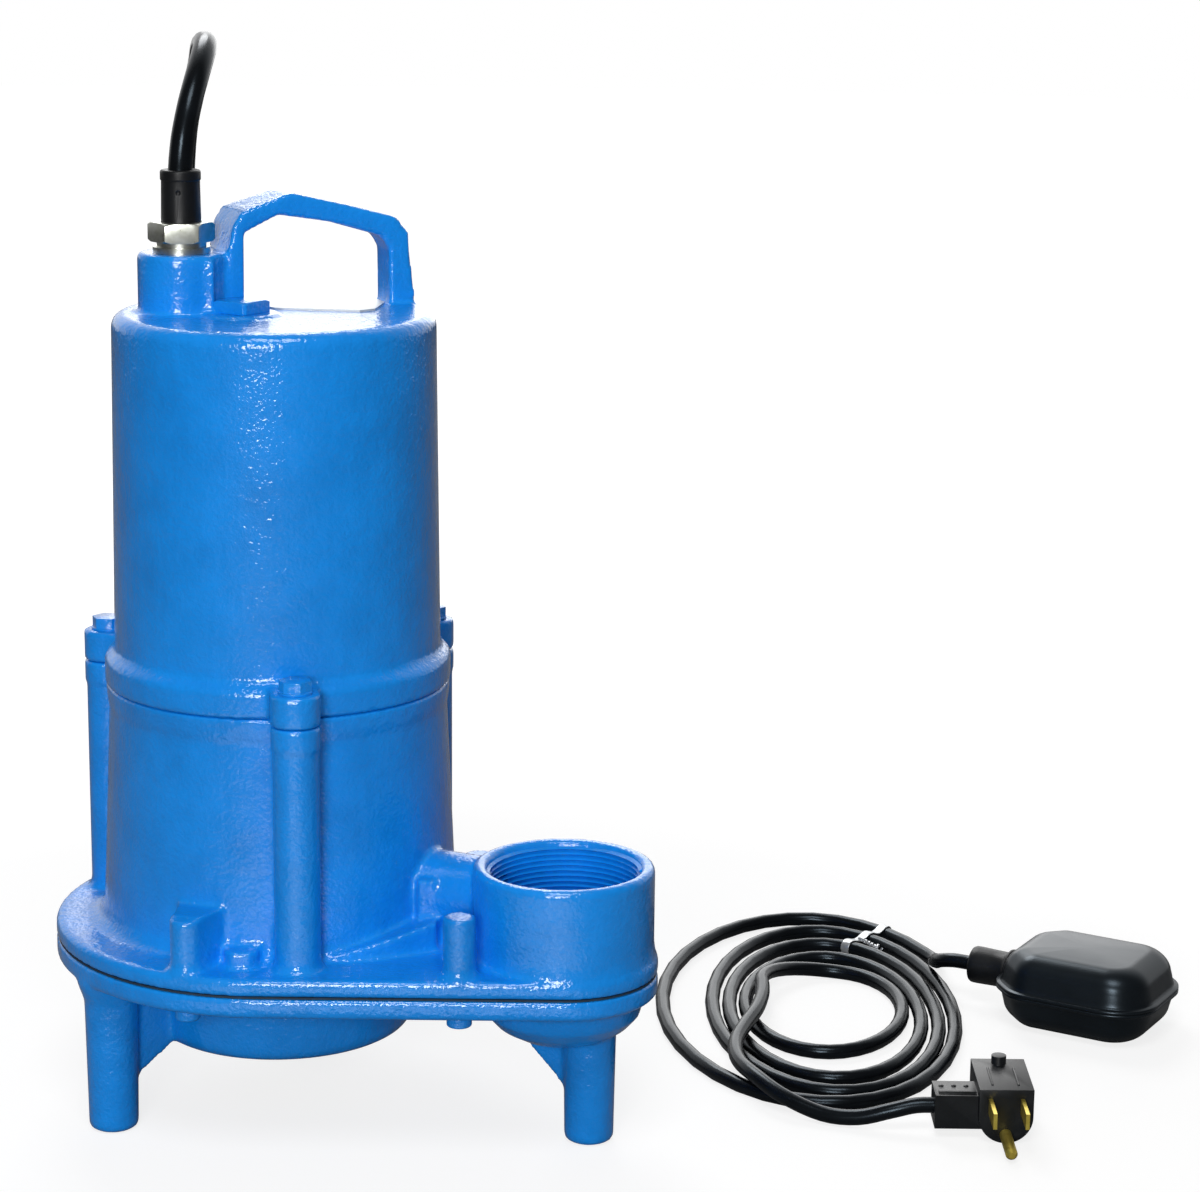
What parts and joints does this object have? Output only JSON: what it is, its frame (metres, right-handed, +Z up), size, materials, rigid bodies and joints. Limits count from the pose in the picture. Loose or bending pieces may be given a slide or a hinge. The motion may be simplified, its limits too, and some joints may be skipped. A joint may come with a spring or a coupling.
{
  "type": "submersible sump pump",
  "caption": "Cast submersible sump pump with a lifting handle, side threaded discharge, power cord and a loose float switch on a piggyback plug.",
  "frame": {"origin": "centre of the base flange's outline, on the floor under the feet", "axes": "+Z up along the motor shaft; +X from the shaft towards the discharge side; -Y is the front"},
  "size_m": [0.4773, 0.3703, 0.4269],
  "materials": {
    "blue_enamel": "glossy, fine orange peel over cast iron",
    "bright_aluminium": "satin, blank",
    "black_rubber": "satin",
    "black_moulding": "satin",
    "black_shell": "semi-gloss",
    "zinc_plate": "satin zinc plate",
    "brass": "satin",
    "ground_steel": "ground",
    "lamination_steel": "varnished stack",
    "copper_wire": "varnished winding",
    "cast_aluminium": "as cast",
    "seal_ceramic": "lapped",
    "cast_bronze": "as cast",
    "cream_moulding": "satin",
    "gasket_fibre": "matte",
    "silver_tape": "satin"
  },
  "bodies": {
    "pump": {"motor_housing": "blue_enamel", "oil_plug": "blue_enamel", "nameplate": "bright_aluminium", "housing_bolts": "blue_enamel", "housing_oring": "black_rubber", "volute_casing": "blue_enamel", "volute_gasket": "gasket_fibre", "base_plate": "blue_enamel", "base_screws": "blue_enamel", "gland_body": "zinc_plate", "gland_nut": "zinc_plate", "cord_boot": "black_rubber", "power_cord": "black_rubber", "power_cord_coil": "black_rubber", "power_plug_cord": "black_rubber", "power_plug": "black_moulding", "power_plug_pins": "brass", "stator_core": "lamination_steel", "stator_windings": "copper_wire", "start_capacitor": "black_moulding", "thermal_protector": "cream_moulding", "bearing_bracket": "cast_aluminium", "upper_bearing_outer": "ground_steel", "lower_bearing_outer": "ground_steel", "seal_seat": "seal_ceramic", "float_cord": "black_rubber", "float_cord_coil": "black_rubber", "cord_tie": "silver_tape", "piggyback_cord": "black_rubber", "piggyback_plug": "black_moulding", "piggyback_pins": "brass", "piggyback_contacts": "brass"},
    "rotor": {"shaft": "ground_steel", "rotor_core": "lamination_steel", "upper_bearing_inner": "ground_steel", "lower_bearing_inner": "ground_steel", "seal_head": "ground_steel", "seal_spring": "ground_steel", "impeller": "cast_bronze", "impeller_washer": "ground_steel", "impeller_nut": "ground_steel"},
    "float": {"float_upper_shell": "black_shell", "float_lower_shell": "black_shell", "float_boot": "black_rubber", "float_switch_body": "cream_moulding", "float_ball_guide": "cream_moulding"},
    "ball": {"float_ball": "ground_steel"}
  },
  "joints": [
    {"name": "rotor_spin", "type": "hinge", "parent": "pump", "child": "rotor", "pos_m": [-0.03115, 0, 0.15], "axis": [0, 0, 1], "continuous": true},
    {"name": "float_tilt", "type": "hinge", "parent": "pump", "child": "float", "pos_m": [0.26285, 0.11, 0.0175], "axis": [-0.5, -0.866, 0], "range_deg": [0, 60]},
    {"name": "ball_slide", "type": "slide", "parent": "float", "child": "ball", "axis": [0.866, -0.5, 0], "range_m": [-0.018, 0]}
  ],
  "couplings": [
    {"joint": "ball_slide", "follows": "float_tilt", "m_per_rad": -0.017189}
  ]
}
